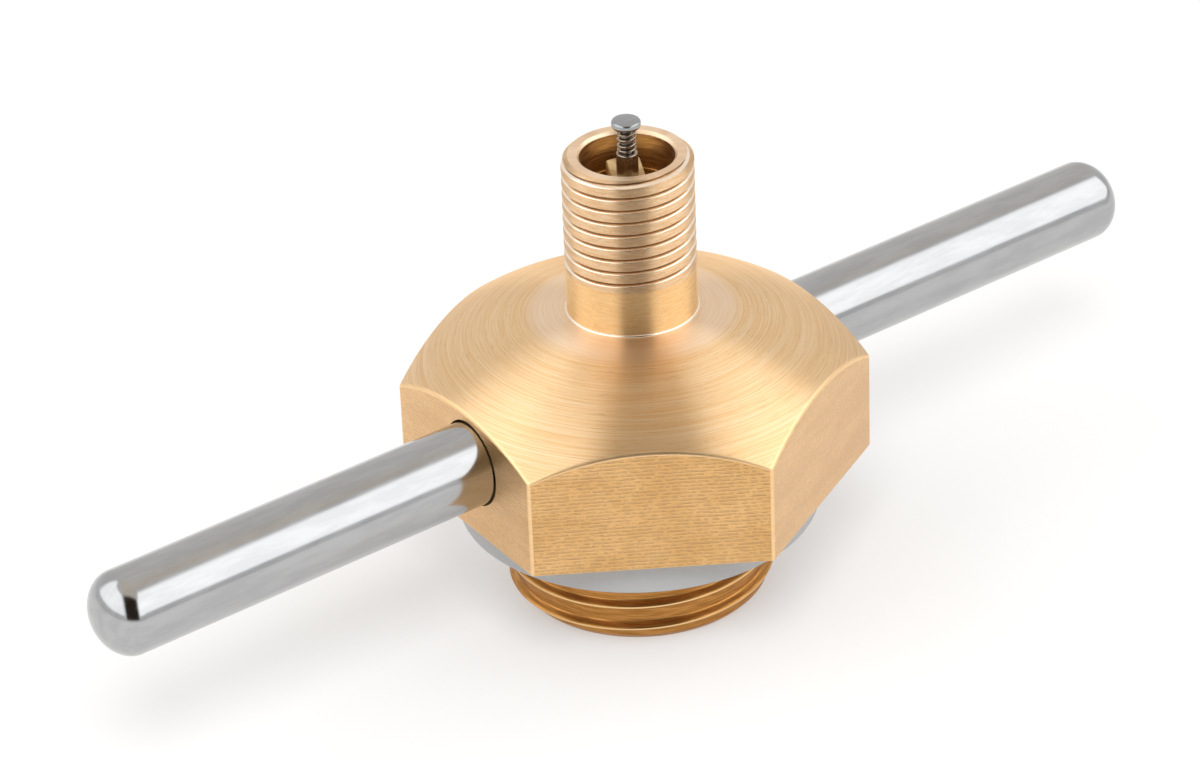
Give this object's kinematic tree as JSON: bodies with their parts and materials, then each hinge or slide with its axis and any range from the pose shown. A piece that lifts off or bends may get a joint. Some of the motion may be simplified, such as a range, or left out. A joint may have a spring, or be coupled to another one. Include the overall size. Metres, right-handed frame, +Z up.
{
  "type": "pressure tank filler cap with inflation valve",
  "caption": "Domed hexagon brass filler cap with tee handle rods, screwed boss, rubber washer and a stem holding a spring-loaded inflation valve core.",
  "frame": {"origin": "centre of the screwed boss's lower end face, on the cap's turning axis", "axes": "+X along the tee handle's rods, +Z up the axis from the boss to the valve pin; the hexagon's flats are turned 4.1 degrees from the handle"},
  "size_m": [0.075, 0.0276, 0.0305],
  "materials": {
    "turned_brass": "fine-turned shoulder, drawn hexagon flats",
    "polished_steel": "polished",
    "grey_rubber": "matt, light grey",
    "core_brass": "small turned parts",
    "seal_rubber": "black",
    "pin_steel": "bright",
    "spring_steel": "bright wire"
  },
  "bodies": {
    "cap": {"cap_body": "turned_brass", "left_handle_rod": "polished_steel", "right_handle_rod": "polished_steel", "sealing_washer": "grey_rubber"},
    "barrel": {"core_barrel": "core_brass", "barrel_seal": "seal_rubber"},
    "plug": {"core_plug": "core_brass", "core_spring": "spring_steel"},
    "pin": {"core_pin": "pin_steel", "seat_seal": "seal_rubber", "seal_cup": "core_brass"}
  },
  "joints": [
    {"name": "core_lift", "type": "slide", "parent": "cap", "child": "barrel", "axis": [0, 0, 1], "range_m": [0, 0.0034]},
    {"name": "core_unscrew", "type": "hinge", "parent": "barrel", "child": "plug", "pos_m": [0, 0, 0.024], "axis": [0, 0, 1], "range_deg": [0, 1735]},
    {"name": "pin_press", "type": "slide", "parent": "barrel", "child": "pin", "axis": [0, 0, -1], "range_m": [0, 0.0006], "stiffness_N_per_m": 1500, "springref_m": -0.0012, "deforming": ["core_spring"]}
  ],
  "couplings": [
    {"joint": "core_unscrew", "follows": "core_lift", "rad_per_m": 8905.5}
  ]
}
